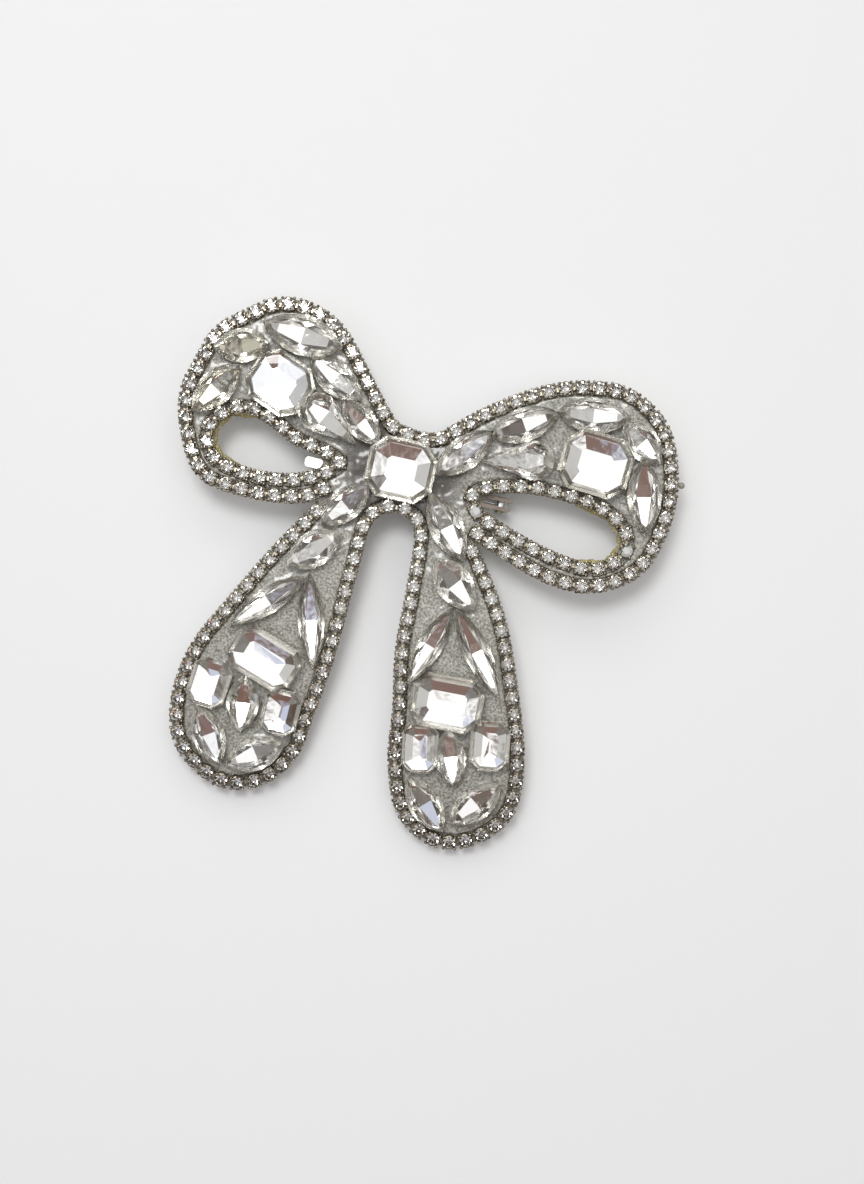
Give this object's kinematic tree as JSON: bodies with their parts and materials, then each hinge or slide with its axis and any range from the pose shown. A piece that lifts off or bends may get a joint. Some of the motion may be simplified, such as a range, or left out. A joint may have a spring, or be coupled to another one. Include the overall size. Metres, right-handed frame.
{
  "type": "crystal bow brooch",
  "caption": "Bow-shaped brooch of large foiled crystals edged with cup chain, on a felt-backed sheet with a hinged bar pin and turning catch.",
  "frame": {"origin": "middle of the brooch's footprint, on the surface that it lies on face up", "axes": "+Z out of the stone face, +Y up the bow from the tails to the loops, +X towards the right-hand loop as seen from the front"},
  "size_m": [0.0934, 0.0936, 0.0129],
  "materials": {
    "crystal": "clear cut glass with a silver foil on the pointed back",
    "small_crystal": "clear cut glass, foil backed",
    "antique_chain": "antique silver plate over brass, darkened between the claws",
    "resin": "clear glue bed over silver-grey cloth, with small bubbles",
    "mesh": "open woven silver-grey mesh",
    "card": "plain card",
    "felt": "pale grey-white wool felt",
    "nickel": "nickel-plated stamped steel, lightly worn",
    "steel_wire": "polished steel wire"
  },
  "bodies": {
    "root": {"felt_backing": "felt", "card_stiffener": "card", "mesh_fabric": "mesh", "resin_bed": "resin", "pin_bar": "nickel", "hinge_bracket": "nickel", "hinge_rivet": "nickel", "catch_housing": "nickel", "left_loop_cups": "antique_chain", "right_loop_cups": "antique_chain", "left_ring_cups": "antique_chain", "right_ring_cups": "antique_chain", "left_tail_cups": "antique_chain", "right_tail_cups": "antique_chain", "left_loop_chatons": "small_crystal", "right_loop_chatons": "small_crystal", "left_ring_chatons": "small_crystal", "right_ring_chatons": "small_crystal", "left_tail_chatons": "small_crystal", "right_tail_chatons": "small_crystal", "stone_knot": "crystal", "stone_left_loop_top": "crystal", "stone_left_loop_shoulder": "crystal", "stone_left_loop_side": "crystal", "stone_left_loop_octagon": "crystal", "stone_left_loop_slant": "crystal", "stone_left_loop_pear": "crystal", "stone_left_loop_inner": "crystal", "stone_right_loop_inner": "crystal", "stone_right_loop_slant": "crystal", "stone_right_loop_pear": "crystal", "stone_right_loop_top": "crystal", "stone_right_loop_octagon": "crystal", "stone_right_loop_shoulder": "crystal", "stone_right_loop_side": "crystal", "stone_left_tail_1": "crystal", "stone_left_tail_2": "crystal", "stone_left_tail_3": "crystal", "stone_left_tail_4": "crystal", "stone_left_tail_5": "crystal", "stone_left_tail_6": "crystal", "stone_left_tail_7": "crystal", "stone_left_tail_8": "crystal", "stone_left_tail_9": "crystal", "stone_left_tail_10": "crystal", "stone_right_tail_1": "crystal", "stone_right_tail_2": "crystal", "stone_right_tail_3": "crystal", "stone_right_tail_4": "crystal", "stone_right_tail_5": "crystal", "stone_right_tail_6": "crystal", "stone_right_tail_7": "crystal", "stone_right_tail_8": "crystal", "stone_right_tail_9": "crystal", "stone_right_tail_10": "crystal"},
    "pin": {"pin_stem": "steel_wire"},
    "lock": {"lock_sleeve": "nickel"}
  },
  "joints": [
    {"name": "pin_swing", "type": "hinge", "parent": "root", "child": "pin", "pos_m": [0.01532, 0.01817, 0.0021], "axis": [0, -1, 0], "range_deg": [0, 75]},
    {"name": "lock_turn", "type": "hinge", "parent": "root", "child": "lock", "pos_m": [-0.01878, 0.01817, 0.0021], "axis": [1, 0, 0], "range_deg": [0, 110]}
  ]
}
